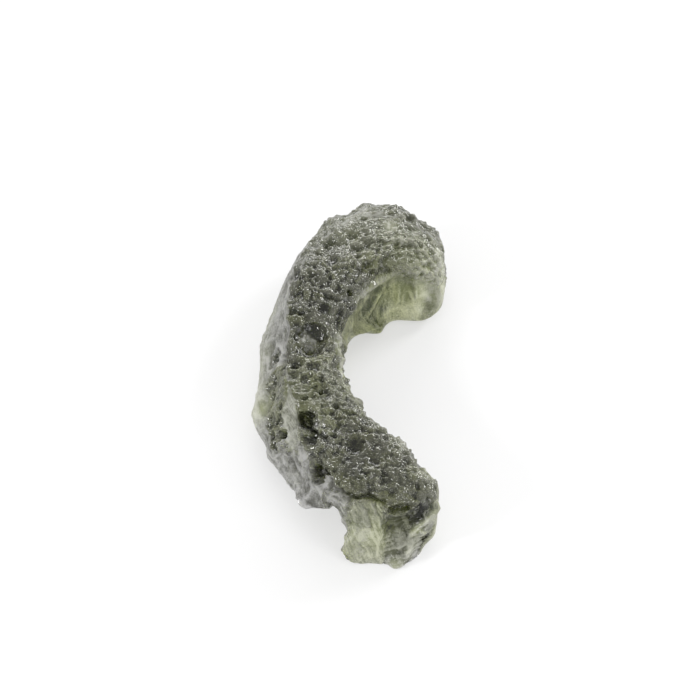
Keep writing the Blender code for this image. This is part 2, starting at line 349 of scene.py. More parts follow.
def skin(u, v):
    """Evaluate the surface on the grid of u along the stone and v round it."""
    down = basis(u, len(cage), False)
    around = basis(v, RING_POINTS, True)
    return np.einsum("ni,mj,ijc->nmc", down, around, cage)


def evenly(length, count, closed):
    """Spread count parameter values at even steps of the measured length."""
    total = np.concatenate([[0.0], np.cumsum(length)])
    want = np.linspace(0.0, total[-1], count + 1 if closed else count)
    return np.interp(want[:-1] if closed else want, total, np.linspace(0, 1, len(total)))


ROWS, COLUMNS = 432, 228
u_end = len(cage) - 3
trial_u, trial_v = np.linspace(0, u_end, 241), np.linspace(0, RING_POINTS, 121)
trial = skin(trial_u, trial_v[:-1])
u_length = np.linalg.norm(np.diff(trial, axis=0), axis=2).mean(axis=1)
v_length = np.linalg.norm(np.diff(trial, axis=1, append=trial[:, :1]), axis=2).mean(axis=0)
u = evenly(u_length, ROWS, False) * u_end
v = evenly(v_length, COLUMNS, True) * RING_POINTS
grid = skin(u, v)
grid[0] = grid[0].mean(axis=0)
grid[-1] = grid[-1].mean(axis=0)
print("mm between rows:", round(u_length.sum() / ROWS, 3))
print("mm between columns:", round(v_length.sum() / COLUMNS, 3))


# %% Outward direction of the skin
def outward(grid):
    """Give unit normals: the cross product of the steps round the ring and along the stone."""
    down = np.gradient(grid, axis=0)
    around = np.roll(grid, -1, axis=1) - np.roll(grid, 1, axis=1)
    normal = np.cross(down, around)
    normal[0] = normal[1].mean(axis=0)
    normal[-1] = normal[-2].mean(axis=0)
    return normal / np.linalg.norm(normal, axis=2, keepdims=True)


base_normal = outward(grid)
from_middle = grid - grid.mean(axis=1, keepdims=True)
print("faces point out:", (base_normal * from_middle).sum() > 0)

# %% [markdown]
# ## Tools for the relief
#
# Four kinds of mark are needed. A scoop presses a ball into the skin, for pits and flake scars.
# A lump raises it, a nudge pulls it aside, and a path draws a line over it. They could be cut
# with Boolean solids, but these work on the one mesh and leave no seams. Fine etching needs
# thousands of marks, so it comes from two patterns that are worked out for every point at once:
# smooth noise, and Worley's cells, which give the distance to scattered seeds. Round bowls about
# the seeds meet in sharp rims, just as etched pits do, while noise alone would give soft waves.

# %% Marks
SOFT_EDGE = 0.03


def ramp(value, low, high):
    """Rise smoothly from 0 at low to 1 at high, by 3t^2 - 2t^3."""
    t = np.clip((value - low) / (high - low), 0.0, 1.0)
    return t * t * (3 - 2 * t)


def away(points, place):
    """Give the distance from each point to a place."""
    return np.linalg.norm(points - np.array(place), axis=1)


def bell(gap, spread):
    """Fall from 1 as the gap grows, by exp(-(gap/spread)^2 / 2)."""
    return np.exp(-0.5 * (gap / spread) ** 2)


def scoop(points, normals, place, radius, depth, soft=SOFT_EDGE):
    """Press a ball into the skin at the point nearest to place, along the outward line there.

    A point that the ball meets goes in to the ball's underside: with a the distance aside from
    the line, that is sqrt(radius^2 - a^2) below the ball's middle.
    """
    mouth = away(points, place).argmin()
    line = normals[mouth]
    gap = points - points[mouth] - line * (radius - depth)
    above = gap @ line
    aside = np.einsum("ij,ij->i", gap, gap) - above ** 2
    met = (aside < radius ** 2) & (above < 0.5 * radius)
    over = above + np.sqrt(np.maximum(radius ** 2 - aside, 0.0))
    press = soft * np.logaddexp(0.0, over / soft)
    return points - line * np.where(met, press, 0.0)[:, None]


def lump(points, normals, place, spread, rise):
    """Raise the skin about place by rise times the bell of the distance."""
    return points + normals * (rise * bell(away(points, place), spread))[:, None]


def nudge(points, place, spread, move):
    """Move the skin about place by the vector move times the bell of the distance."""
    return points + bell(away(points, place), spread)[:, None] * np.array(move)


def path_gap(points, path):
    """Give the distance from each point to a path of straight pieces."""
    path = np.array(path)
    nearest = np.full(len(points), np.inf)
    for start, stop in zip(path[:-1], path[1:]):
        leg = stop - start
        share = np.clip((points - start) @ leg / (leg @ leg), 0.0, 1.0)
        gap = np.linalg.norm(points - start - share[:, None] * leg, axis=1)
        nearest = np.minimum(nearest, gap)
    return nearest


def strewn(rng, count):
    """Pick places on the body at random, between the ring points."""
    ring = rng.uniform(0.0, len(rings) - 1.001, count)
    side = rng.uniform(0.0, RING_POINTS, count)
    i, k = ring.astype(int), side.astype(int)
    f, g = (ring - i)[:, None], (side - k)[:, None]
    n = (k + 1) % RING_POINTS
    here = rings[i, k] * (1 - g) + rings[i, n] * g
    there = rings[i + 1, k] * (1 - g) + rings[i + 1, n] * g
    return here * (1 - f) + there * f


print("ramp at a half:", ramp(0.5, 0.0, 1.0))


# %% Patterns
def draws(cube, seed):
    """Give three random numbers from 0 to 1 for each cube of space, by mixing its whole numbers."""
    mixed = (cube * np.array([73856093, 19349663, 83492791])).sum(axis=1) + seed * 2654435761
    mixed = (mixed & 0xFFFFFFFF).astype(np.uint64)
    numbers = []
    for step in range(3):
        mixed = (mixed ^ (mixed >> np.uint64(15))) * np.uint64(2246822519 + 2 * step)
        mixed &= np.uint64(0xFFFFFFFF)
        numbers.append((mixed ^ (mixed >> np.uint64(13))) & np.uint64(0xFFFF))
    return np.stack(numbers, axis=1) / 65535.0


def noise(points, size, seed):
    """Give smooth noise from -1 to 1: random values at cube corners, blended by 3t^2 - 2t^3."""
    scaled = points / size
    cube = np.floor(scaled).astype(np.int64)
    part = ramp(scaled - cube, 0.0, 1.0)
    total = np.zeros(len(points))
    for corner in product((0, 1), repeat=3):
        share = np.where(corner, part, 1 - part).prod(axis=1)
        total += share * draws(cube + corner, seed)[:, 0]
    return 2 * total - 1


def cells(points, size, seed):
    """Give the distance to the nearest seed. Each cube of space holds one, at random in it."""
    scaled = points / size
    cube = np.floor(scaled).astype(np.int64)
    nearest = np.full(len(points), np.inf)
    for shift in product((-1, 0, 1), repeat=3):
        seed_at = cube + shift + draws(cube + shift, seed)
        nearest = np.minimum(nearest, np.linalg.norm(seed_at - scaled, axis=1))
    return nearest * size


def domes(points, size, seed, reach=0.75):
    """Give round tops about the seeds: 1 - (distance / (reach * size))^2."""
    return 1 - (cells(points, size, seed) / (reach * size)) ** 2


points = grid.reshape(-1, 3)
normals = base_normal.reshape(-1, 3)
print(len(points), "points to work on")

# %% [markdown]
# ## Which skin is where
#
# The crown and most of the walls are etched into glossy knobs and pits. The outer wall is worn
# dull, up to a crest line, and a dull tongue runs up from it into the crown. The flake scars on
# the bay wall and the break are smooth. A mask could be painted by hand, but then it couldn't be
# checked or changed. Here each kind is a number from 0 to 1 at every point. The borders are given
# as places along and round the stone, s and side, and noise frays them, because no real border is
# straight.

# %% Skin masks
s = np.repeat(u, COLUMNS) - len(END_CAP) + 1
side = np.tile(v, ROWS)
x, y, z = points.T
fray = 0.14 * noise(points, 0.9, 11) + 0.08 * noise(points, 0.4, 12)
snapped = s + 0.9 * ramp(-x, 0.0, 1.5)

# the worn outer wall, from the foot up to the crest line
CREST_S = (0.0, 3.0, 6.0, 7.5, 9.5, 11.2, 11.7, 12.1, 15.3, 15.7, 17.0, 18.0, 19.0, 20.5)
CREST_V = (3.2, 3.4, 4.0, 4.2, 4.8, 5.3, 4.6, 3.3, 3.2, 3.7, 3.6, 3.9, 4.0, 4.1)
crest_v = np.interp(s, CREST_S, CREST_V)
worn = ramp(crest_v - side + fray, -0.04, 0.06) * ramp(side, 0.6, 1.2) * ramp(s, 5.0, 6.5)
worn *= 1 - ramp(snapped, 20.0, 20.8)

# the worn tongue, with its gritty edges
TONGUE_S = (13.6, 13.9, 14.3, 14.9, 15.4, 15.8, 16.6, 17.0)
TONGUE_LOW = (5.00, 4.80, 4.00, 3.85, 3.72, 3.68, 3.60, 3.60)
TONGUE_HIGH = (5.00, 5.00, 5.19, 4.85, 4.15, 3.90, 3.75, 3.65)
low, high = np.interp(s, TONGUE_S, TONGUE_LOW), np.interp(s, TONGUE_S, TONGUE_HIGH)
grit = noise(points, 0.28, 13)
tongue = ramp(side - low + 0.12 + 0.8 * fray + 0.08 * grit, -0.05, 0.08)
tongue *= ramp(high - side + 0.5 * fray + 0.04 * grit, -0.03, 0.04)

# the flaked bay wall of the upper arm
flaked = ramp(side + 0.5 * fray, 8.35, 8.55) * (1 - ramp(side, 11.0, 11.6))
flaked *= 1 - ramp(s, 9.6, 10.6)

# the break, below the lip of the crown, and round the corner at its right
LIP_X = (3.1, 3.9, 4.6, 5.4, 6.1, 6.6, 7.3, 8.0)
LIP_Z = (6.7, 5.5, 5.0, 5.0, 5.3, 5.9, 6.3, 6.4)
under_lip = ramp(np.interp(x, LIP_X, LIP_Z) - z + 0.4 * fray, 0.0, 0.25)
under_lip = np.where(x < LIP_X[0], 1.0, under_lip)
broken = ramp(snapped, 20.8, 21.4) * ramp(-normals[:, 1], 0.25, 0.45) * under_lip
corner = ramp(x, 7.0, 7.6) * ramp(5.2 - z + 0.8 * fray, 0.0, 0.4) * ramp(s, 18.6, 19.2)
broken = np.maximum(broken, corner)

# pockets in the worn wall that are still etched
POCKETS = (
    # x, y, z, reach
    (-2.7, -12.2, 5.6, 0.75),
    (-2.2, -14.6, 6.1, 0.65),
    (-2.3, -15.2, 5.6, 0.55),
    (-7.0, 2.6, 5.2, 0.90),
)
pocket = np.zeros(len(points))
for *place, reach in POCKETS:
    pocket = np.maximum(pocket, 1 - ramp(away(points, place) / reach + fray, 0.7, 1.0))
worn = np.maximum(worn, tongue) * (1 - pocket)
etched = np.clip(1 - worn - flaked - broken, 0.0, 1.0)
print("shares:", [round(float(mask.mean()), 3) for mask in (etched, worn, flaked, broken)])

# %% [markdown]
# ## Swells, lumps and millimetre pits
#
# The skin swells and dips by a few tenths of a millimetre, and shallow pits a millimetre across
# lie on it. Both come from seeded draws, in the same order as in the solid model, so the mesh
# keeps the solid's own relief. A pit that falls on worn or flaked skin is left out here. The
# named lumps are the solid's too, and small ones after them bring the outline closer.

# %% Swells and named lumps
SWELL_SEED = 8
SWELL_COUNT = 90
SWELL_SPREAD = (1.0, 2.0)
SWELL_RISE = 0.28
LUMPS = (
    # x, y, z, spread, rise
    # the lumps of the solid
    (-8.7, -1.7, 1.9, 1.00, 0.90),
    (-3.6, -14.2, 4.9, 1.10, 0.70),
    (-1.2, -15.2, 5.0, 1.00, 0.55),
    (2.0, 22.0, 5.4, 1.00, 0.50),
    (-1.6, 19.9, 5.4, 1.00, 0.50),
    (4.6, 21.8, 5.6, 1.10, 0.35),
    (9.2, 13.0, 3.4, 1.20, 0.50),
    (8.2, -13.2, 5.6, 1.10, 0.40),
    (0.4, -1.7, 5.8, 0.80, 0.45),
    (4.4, -7.9, 6.0, 1.00, 0.30),
    (4.9, -18.2, 0.9, 0.90, 0.70),
    (-5.6, 16.2, 5.2, 1.20, 0.30),
    # small rises and dips along the outline
    (1.9, 22.0, 5.9, 0.80, 0.40),
    (-0.4, 21.3, 5.6, 0.90, -0.35),
    (4.4, 22.0, 5.6, 0.80, 0.30),
    (3.2, 22.2, 5.2, 0.60, -0.20),
    (7.0, 20.0, 5.6, 0.90, -0.25),
    (-2.0, 20.0, 6.0, 0.80, 0.10),
    (-4.4, 16.0, 5.7, 1.00, 0.25),
    (9.3, 17.2, 5.0, 1.30, 0.18),
    (9.8, 12.9, 4.0, 1.00, -0.45),
    (-9.0, 0.2, 2.6, 0.70, 0.30),
    (-8.7, -3.6, 2.2, 0.80, 0.25),
    (7.9, -17.4, 1.6, 0.90, -0.70),
    (4.4, -18.8, 0.6, 0.70, 0.45),
)
rng = np.random.default_rng(SWELL_SEED)
for place in strewn(rng, SWELL_COUNT):
    spread = rng.uniform(*SWELL_SPREAD)
    rise = rng.uniform(-SWELL_RISE, SWELL_RISE)
    points = lump(points, normals, place, spread, rise)
for *place, spread, rise in LUMPS:
    points = lump(points, normals, place, spread, rise)
print(SWELL_COUNT, "swells and", len(LUMPS), "lumps")

# %% Pits of about a millimetre
PIT_SEED = 3
PIT_COUNT = 300
PIT_RADIUS = (0.75, 1.25)
PIT_DEPTH = (0.16, 0.30)
rng = np.random.default_rng(PIT_SEED)
kept = 0
for place in strewn(rng, PIT_COUNT):
    radius = rng.uniform(*PIT_RADIUS)
    depth = rng.uniform(*PIT_DEPTH)
    if etched[away(points, place).argmin()] > 0.6:
        points = scoop(points, normals, place, radius, depth)
        kept += 1
print(kept, "of", PIT_COUNT, "pits")

# %% [markdown]
# ## Named scoops
#
# These are the hollows that make this stone itself: the round crater on the crown, the dark
# hollows along its edge, the flake scars on the bay wall and the deep hollow of the break.

# %% Scoops
SCOOPS = (
    # x, y, z, radius, depth
    # crisp scars within the bay wall of the upper arm
    (2.6, 10.4, 5.2, 1.70, 0.45),
    (1.2, 7.8, 4.6, 2.60, 0.30),
    (3.3, 9.6, 2.8, 2.40, 0.40),
    (5.9, 12.1, 3.6, 1.60, 0.35),
    (5.3, 12.1, 5.4, 1.50, 0.25),
    (8.0, 12.1, 4.6, 2.00, 0.25),
    (8.1, 11.7, 2.8, 1.60, 0.30),
    # the round crater on the crown, and the smaller bowls beside it
    (-3.9, 3.0, 7.5, 2.00, 0.66),
    (-3.3, 3.4, 7.5, 1.80, 0.62),
    (-3.5, 2.4, 7.4, 1.80, 0.52),
    (-3.7, 2.4, 6.4, 0.70, 0.28),
    (-2.7, 3.6, 7.0, 0.40, 0.20),
    (-4.3, 3.9, 7.0, 0.35, 0.18),
    (-2.2, 6.6, 7.9, 0.90, 0.35),
    (0.7, -10.6, 8.0, 1.50, 0.45),
    (-3.9, -6.9, 7.4, 1.40, 0.90),
    (-3.5, -8.6, 7.3, 1.20, 0.80),
    # the pocket at the foot of the crown's lower left edge
    (-2.8, -12.3, 6.6, 1.10, 0.70),
    # dimples in the outer wall
    (-7.7, 4.3, 4.8, 1.40, 0.40),
    (-7.0, 9.0, 4.6, 3.50, 0.15),
    (-8.6, -2.0, 4.9, 2.20, 0.75),
    (-8.0, -4.6, 4.6, 1.80, 0.55),
    (-6.2, -9.2, 4.8, 3.60, 0.40),
    # the undercut below the lump on the lower left flank
    (-2.9, -13.6, 1.6, 2.60, 1.70),
    (-0.6, -15.6, 2.2, 1.90, 0.80),
    # curved flake scars on the bay wall of the upper arm
    (1.9, 9.2, 4.0, 4.20, 0.50),
    (4.9, 11.2, 4.2, 3.40, 0.55),
    (8.0, 11.9, 4.2, 2.60, 0.45),
    (-0.2, 5.6, 3.4, 3.20, 0.45),
    # notches between the lobes of the bay edge of the lower arm
    (-0.3, 0.6, 5.6, 1.70, 0.70),
    (2.9, -6.3, 5.6, 1.60, 1.00),
    (7.1, -11.4, 5.6, 1.70, 1.05),
    # the hollow of the broken end, and the smooth scallop beside it
    (5.6, -17.6, 4.7, 3.10, 1.15),
    (7.0, -16.6, 5.4, 1.90, 0.50),
    (2.0, -18.2, 2.4, 1.80, 0.30),
)
for *place, radius, depth in SCOOPS:
    points = scoop(points, normals, place, radius, depth)
print(len(SCOOPS), "scoops")

# %% Deep pits in clusters
# Small, steep pits lie close together in the hollows of the outer wall, where their many slopes
# sparkle. None falls on the worn tongue.
CLUSTER_SEED = 5
CLUSTER_RADIUS = (0.35, 0.65)
CLUSTER_DEPTH = 0.6
CLUSTERS = (
    # x, y, z, reach, count
    (-6.2, -6.6, 5.2, 1.9, 34),
    (-7.0, 2.6, 5.2, 1.0, 9),
    (-2.4, -14.2, 6.0, 1.2, 12),
    (-1.9, -12.4, 6.2, 0.8, 5),
)
rng = np.random.default_rng(CLUSTER_SEED)
for *middle, reach, count in CLUSTERS:
    for shift in rng.normal(0.0, 0.5, (count, 3)):
        radius = rng.uniform(*CLUSTER_RADIUS)
        place = np.array(middle) + reach * shift
        if tongue[away(points, place).argmin()] < 0.3:
            points = scoop(points, normals, place, radius, CLUSTER_DEPTH * radius, soft=0.02)
print(len(CLUSTERS), "clusters")

# %% [markdown]
# ## Edges set right one by one
#
# Stations a few millimetres apart draw the outline only to within half a millimetre. More
# stations would ripple the whole section, so single spots on the edge are pulled in or out
# instead. This comes after the scoops, because a ball pressed in later would cut a nudge away.

# %% Nudges to the outline
NUDGES = (
    # x, y, z, spread, and the move in x, y and z
    (0.2, 19.6, 7.0, 0.9, 0.10, -0.50, -0.20),
    (-2.6, 19.4, 6.2, 0.9, 0.15, -0.20, 0.00),
    (8.3, 18.8, 6.0, 0.8, 0.15, 0.15, 0.00),
    (7.8, 11.4, 1.2, 1.0, 0.10, -0.45, -0.10),
    (-0.1, 2.3, 4.2, 0.8, -0.30, 0.00, 0.00),
    (0.9, -1.3, 5.5, 0.7, -0.85, -0.45, -0.10),
    (2.3, -4.6, 5.7, 0.8, -1.25, -1.15, -0.35),
    (4.5, -7.4, 6.0, 0.8, -1.00, -1.25, -0.40),
    (6.5, -10.3, 5.8, 0.7, -1.10, -1.20, -0.40),
    (-4.1, -14.4, 4.5, 0.9, -0.15, -1.00, -0.50),
    (-2.5, -14.9, 4.9, 0.8, 0.00, -0.90, -0.40),
    (-1.4, -16.2, 4.5, 0.7, 0.80, 1.25, 0.50),
    (-0.8, -16.7, 3.4, 0.7, 0.95, 0.35, 0.00),
    (-4.8, -13.6, 4.0, 0.7, -0.20, -0.25, -0.10),
    (-8.2, -5.7, 2.7, 0.8, 0.40, 0.20, 0.00),
    (-9.1, -2.4, 1.8, 0.8, -0.10, 0.00, 0.00),
    (7.1, -17.5, 0.8, 0.9, -0.35, 0.30, 0.05),
    (-0.3, -18.0, 1.9, 0.8, -0.30, 0.00, 0.00),
    (-2.9, -14.5, 4.7, 0.7, 0.00, -0.65, -0.25),
    (-4.6, -13.6, 4.2, 0.7, -0.20, -0.40, -0.20),
    (-1.4, -15.5, 4.2, 0.6, 0.50, 0.70, 0.30),
    (-0.9, -15.8, 3.5, 0.6, 0.60, 0.50, 0.20),
    (3.3, 8.5, 1.2, 1.0, -0.15, 0.50, 0.10),
    (1.9, 8.2, 1.3, 1.0, -0.10, 0.50, 0.10),
    (0.7, 7.3, 1.9, 0.9, -0.15, 0.40, 0.10),
    (-9.3, -4.3, 1.8, 0.8, -0.20, -0.10, 0.00),
    (8.2, -16.6, 1.6, 0.7, 0.30, -0.20, 0.00),
    (-0.5, -16.2, 3.2, 0.5, 0.35, 0.10, 0.00),
    (-5.5, -10.6, 2.7, 0.7, -0.15, -0.05, 0.00),
    (-4.7, -12.3, 3.5, 0.7, -0.15, -0.10, 0.00),
)
for *place, spread, dx, dy, dz in NUDGES:
    points = nudge(points, place, spread, (dx, dy, dz))
print(len(NUDGES), "nudges")

# %% [markdown]
# ## Flake scars on the dull walls
#
# A worn or broken wall of glass is a patchwork of shallow, slightly hollow facets that meet in
# crisp edges, because glass breaks in flakes. A wide ball pressed a little way in leaves just
# such a scar, and many that overlap leave only the edges between them.

# %% Flakes
FLAKE_SEED = 61
FLAKE_COUNT = 420
FLAKE_RADIUS = (1.2, 3.2)
FLAKE_DEPTH = (0.06, 0.16)
FLAKE_FLOOR = 3.2
rng = np.random.default_rng(FLAKE_SEED)
dull = np.maximum(np.maximum(worn, flaked), broken)
kept = 0
for place in strewn(rng, FLAKE_COUNT):
    radius = rng.uniform(*FLAKE_RADIUS)
    depth = rng.uniform(*FLAKE_DEPTH)
    mouth = away(points, place).argmin()
    if dull[mouth] > 0.5 and points[mouth, 2] > FLAKE_FLOOR:
        points = scoop(points, normals, place, radius, depth, soft=0.015)
        kept += 1
print(kept, "flakes")

# %% Nudges to the lump's lower edge
# Flakes bite into this edge, so its last nudges come after them.
LATE_NUDGES = (
    # x, y, z, spread, and the move in x, y and z
    (-4.4, -14.4, 4.4, 0.7, 0.00, -0.15, -0.05),
    (-3.3, -14.4, 4.5, 0.7, 0.00, -0.40, -0.15),
    (-2.5, -14.7, 4.8, 0.6, 0.00, -0.35, -0.10),
    (-1.4, -15.1, 4.1, 0.5, 0.05, 0.30, 0.10),
    (-1.0, -15.0, 3.7, 0.5, 0.10, 0.40, 0.15),
)
for *place, spread, dx, dy, dz in LATE_NUDGES:
    points = nudge(points, place, spread, (dx, dy, dz))
print(len(LATE_NUDGES), "late nudges")

# %% [markdown]
# ## Ridges, creases and grooves
#
# The lines that the eye follows over the stone are drawn as paths: a crest is a positive rise
# and a crease a negative one. The profile across a path is a cusp, exp(-gap/width), because a
# rounded profile would read as a welt.

# %% Lines over the skin
# the rim to the right of the hollow of the break, the edge below it, and the topmost ripple
RIM = ((7.5, -14.3, 6.2), (8.0, -14.5, 5.2), (8.4, -14.9, 4.3), (8.1, -15.7, 4.2),
       (7.5, -16.3, 4.0), (6.8, -16.4, 3.3), (6.2, -16.7, 2.8))
LOW_RIM = ((6.9, -16.7, 3.0), (7.3, -17.0, 3.0), (6.9, -17.4, 2.4), (6.3, -17.8, 2.0),
           (5.7, -18.2, 1.7))
TOP_RIPPLE = ((3.9, -16.2, 5.0), (4.6, -16.0, 4.3), (5.4, -15.7, 4.4), (6.1, -15.6, 4.8),
              (6.6, -15.6, 5.6), (7.3, -15.1, 5.8))
LINES = (
    # width, rise, path
    # the crest line between the worn outer wall and the crown
    (0.35, 0.28, ((-5.2, 12.0, 7.3), (-5.6, 9.3, 7.5), (-5.7, 6.6, 7.6), (-5.6, 4.0, 7.6),
                  (-5.5, 1.7, 7.4), (-6.3, 1.0, 6.4), (-6.9, 0.6, 5.4), (-7.3, 0.3, 4.7))),
    # the sharp right edge of the worn tongue, and the black hollow beside it
    (0.20, 0.35, ((-4.8, -5.3, 7.6), (-4.6, -7.1, 6.9), (-4.5, -8.4, 6.2), (-4.3, -9.5, 5.5),
                  (-4.0, -11.7, 5.0))),
    (0.45, -1.20, ((-4.0, -6.2, 7.3), (-3.8, -7.2, 7.2), (-3.6, -7.9, 7.2))),
    (0.30, -0.80, ((-3.3, -8.7, 7.3), (-3.0, -9.2, 7.4))),
    # folds down the worn lower left flank
    (0.16, 0.16, ((-5.8, -8.4, 4.0), (-5.2, -10.2, 3.9), (-4.6, -12.1, 4.2), (-4.1, -14.2, 4.9),
                  (-3.3, -15.0, 5.0))),
    (0.14, 0.14, ((-4.1, -11.5, 4.9), (-3.6, -13.2, 5.6), (-3.2, -14.5, 5.5), (-2.9, -15.3, 5.3))),
    (0.14, 0.14, ((-3.2, -12.0, 5.6), (-2.8, -13.3, 5.7), (-2.6, -14.6, 6.0))),
    (0.18, 0.18, ((-2.7, -10.1, 7.3), (-2.7, -11.1, 6.6), (-3.2, -11.6, 5.8))),
    (0.20, 0.16, ((-2.0, -12.1, 5.9), (-1.6, -12.8, 7.0), (-1.0, -13.9, 7.2), (-0.7, -14.9, 7.0))),
    (0.20, 0.12, ((-6.5, -8.0, 3.6), (-6.1, -10.0, 3.3), (-5.2, -12.6, 3.2))),
    # the dark crease that parts the crown from the break
    (0.34, -0.80, ((-0.6, -15.0, 7.0), (0.2, -15.6, 7.1), (1.0, -15.8, 7.1), (2.1, -15.6, 7.1),
                   (2.7, -15.8, 6.9), (3.3, -16.0, 6.7), (4.0, -16.2, 5.9), (4.6, -15.9, 5.0),
                   (5.6, -15.6, 4.9))),
    # slits down the pale half of the break, and the ridges between them
    (0.14, -0.40, ((1.5, -16.3, 6.5), (1.9, -16.7, 6.1), (2.0, -16.9, 5.6), (2.3, -17.2, 4.7),
                   (2.4, -17.4, 4.1))),
    (0.14, -0.40, ((2.6, -16.4, 6.4), (2.9, -16.8, 5.7), (3.2, -16.9, 5.1))),
    (0.14, 0.22, ((2.2, -16.1, 6.6), (2.7, -16.6, 6.1), (3.1, -17.0, 5.1), (3.3, -17.2, 3.9))),
    # the edge between its pale half and the hollow
    (0.20, 0.40, ((3.1, -16.1, 6.6), (3.6, -16.6, 5.8), (3.7, -16.5, 4.4), (3.4, -17.2, 3.8),
                  (3.0, -17.7, 3.0), (2.8, -18.3, 1.5))),
    # curved crests across the hollow
    (0.18, 0.26, TOP_RIPPLE),
    (0.18, 0.26, ((3.6, -16.8, 3.9), (4.4, -16.6, 3.3), (5.2, -16.5, 3.0), (5.8, -16.4, 3.1),
                  (6.0, -15.9, 3.7), (6.4, -15.7, 4.7), (7.2, -15.3, 5.2))),
    (0.16, 0.10, ((3.6, -17.1, 3.6), (4.2, -16.9, 3.1), (5.0, -17.1, 2.6), (5.7, -17.0, 2.5),
                  (6.1, -16.7, 2.8))),
    (0.16, 0.18, ((3.0, -17.6, 3.3), (3.8, -17.3, 3.1), (4.8, -17.3, 2.6), (5.3, -17.4, 2.3),
                  (5.9, -17.7, 2.2))),
    (0.14, 0.10, ((2.9, -17.8, 2.6), (3.8, -17.7, 2.8), (4.6, -17.6, 2.5), (5.2, -17.9, 2.2))),
    (0.12, 0.20, ((2.8, -18.3, 1.5), (3.5, -18.2, 1.8), (4.1, -18.3, 1.8), (4.4, -18.6, 1.5))),
    (0.14, 0.26, ((4.8, -18.2, 2.1), (5.5, -17.8, 2.2), (6.3, -17.7, 2.1), (5.8, -18.3, 1.4),
                  (4.9, -18.9, 1.0))),
    # the rim to the right of the hollow
    (0.30, 0.50, RIM),
    (0.18, 0.34, LOW_RIM),
    # edges of the scars on the bay wall
    (0.20, 0.40, ((1.0, 8.1, 6.0), (1.5, 8.9, 6.0), (1.9, 9.9, 6.5), (2.4, 10.6, 6.6),
                  (3.1, 11.5, 6.0), (3.6, 11.6, 5.9))),
    (0.20, 0.45, ((1.9, 7.8, 2.4), (2.0, 9.2, 3.4), (2.4, 10.3, 3.8), (3.0, 11.2, 4.4),
                  (3.9, 11.8, 5.1), (4.3, 11.9, 6.1))),
    (0.20, 0.35, ((5.0, 11.9, 3.0), (5.1, 12.2, 4.6), (5.6, 12.0, 5.4), (6.4, 11.9, 5.1),
                  (6.8, 11.8, 3.8), (7.2, 11.5, 2.6))),
    (0.18, 0.25, ((5.4, 11.9, 3.0), (5.6, 12.2, 4.1), (6.1, 12.1, 4.0), (6.4, 11.8, 3.4))),
    (0.25, -0.35, ((6.5, 11.9, 6.3), (6.9, 11.7, 5.4), (7.2, 11.7, 3.9), (7.5, 11.5, 2.5))),
    # the pale line across the crown of the upper arm, and the crease beside it
    (0.22, 0.30, ((1.7, 17.3, 8.2), (2.3, 15.8, 8.2), (3.1, 14.1, 8.0))),
    (0.25, -0.35, ((-1.9, 14.0, 8.1), (-1.0, 14.7, 8.2), (0.2, 14.5, 8.1), (1.2, 14.1, 8.1))),
)
lines = np.zeros(len(points))
for width, rise, path in LINES:
    lines += rise * np.exp(-path_gap(points + 0.12 * fray[:, None], path) / width)
points = points + normals * lines[:, None]
print(len(LINES), "lines")

# %% [markdown]
# ## Fine etching
#
# Close to, the crown is a mosaic of knobs and bowls from half a millimetre to a millimetre
# across. Knobs about the seeds of one pattern meet in sharp creases, bowls about the seeds of
# another meet in sharp rims, and both are bent by noise so that none is quite round.

# %% Knobs, bowls and ring pits
KNOB_SIZE, KNOB_RISE = 0.62, 0.25
BOWL_SIZE, BOWL_DEPTH = 0.80, 0.14
GRAIN_SIZE, GRAIN_RISE = 0.36, 0.07
RING_SIZE, RING_RADIUS, RING_DEPTH = 1.9, 0.42, 0.30
BEND = 0.16
CALM = (
    # x, y, z, reach: the crater and the bowls are smoother inside
    (-3.9, 3.4, 6.9, 1.3),
    (-3.2, 2.2, 6.9, 0.9),
    (-2.2, 6.6, 7.7, 0.8),
    (0.7, -10.6, 7.8, 1.1),
    (-1.2, 13.4, 8.0, 1.6),
)
LIVELY = (
    # x, y, z, reach: the skin is rougher here
    (-2.5, -1.5, 7.2, 2.6),
    (-3.0, -4.2, 7.3, 1.5),
    (-6.2, -6.6, 5.2, 1.9),
    (-4.0, -7.4, 7.0, 1.6),
    (-2.4, -13.6, 6.0, 1.6),
    (-7.0, 2.6, 5.2, 1.0),
)
bent = points + BEND * np.stack([noise(points, 0.8, seed) for seed in (31, 32, 33)], axis=1)
strength = 0.35 + 0.70 * ramp(noise(points, 2.4, 34) + 0.5 * noise(points, 1.1, 35), -0.45, 0.25)
for spots, change, core in ((CALM, -0.75, 0.8), (LIVELY, 0.8, 0.6)):
    for *place, reach in spots:
        strength *= 1 + change * (1 - ramp(away(points, place) / reach, core, 1.0))
mosaic = KNOB_RISE * domes(bent, KNOB_SIZE, 41)
mosaic -= BOWL_DEPTH * domes(bent, BOWL_SIZE, 42)
mosaic += GRAIN_RISE * domes(bent, GRAIN_SIZE, 43)
ring_gap = cells(bent, RING_SIZE, 44) / RING_RADIUS
ring_pit = np.exp(-((ring_gap - 1.15) / 0.35) ** 2) * 0.35 - np.exp(-ring_gap ** 2)
relief = etched * (strength * mosaic + RING_DEPTH * ring_pit)
print("relief in mm:", relief.min().round(2), "to", relief.max().round(2))

# %% [markdown]
# ## Dull facets and the break
#
# Worn skin is not etched, but it is fluted along the stone and finely pocked. The break shows
# curved ripples about the point where the blow fell, as broken bottle glass does.

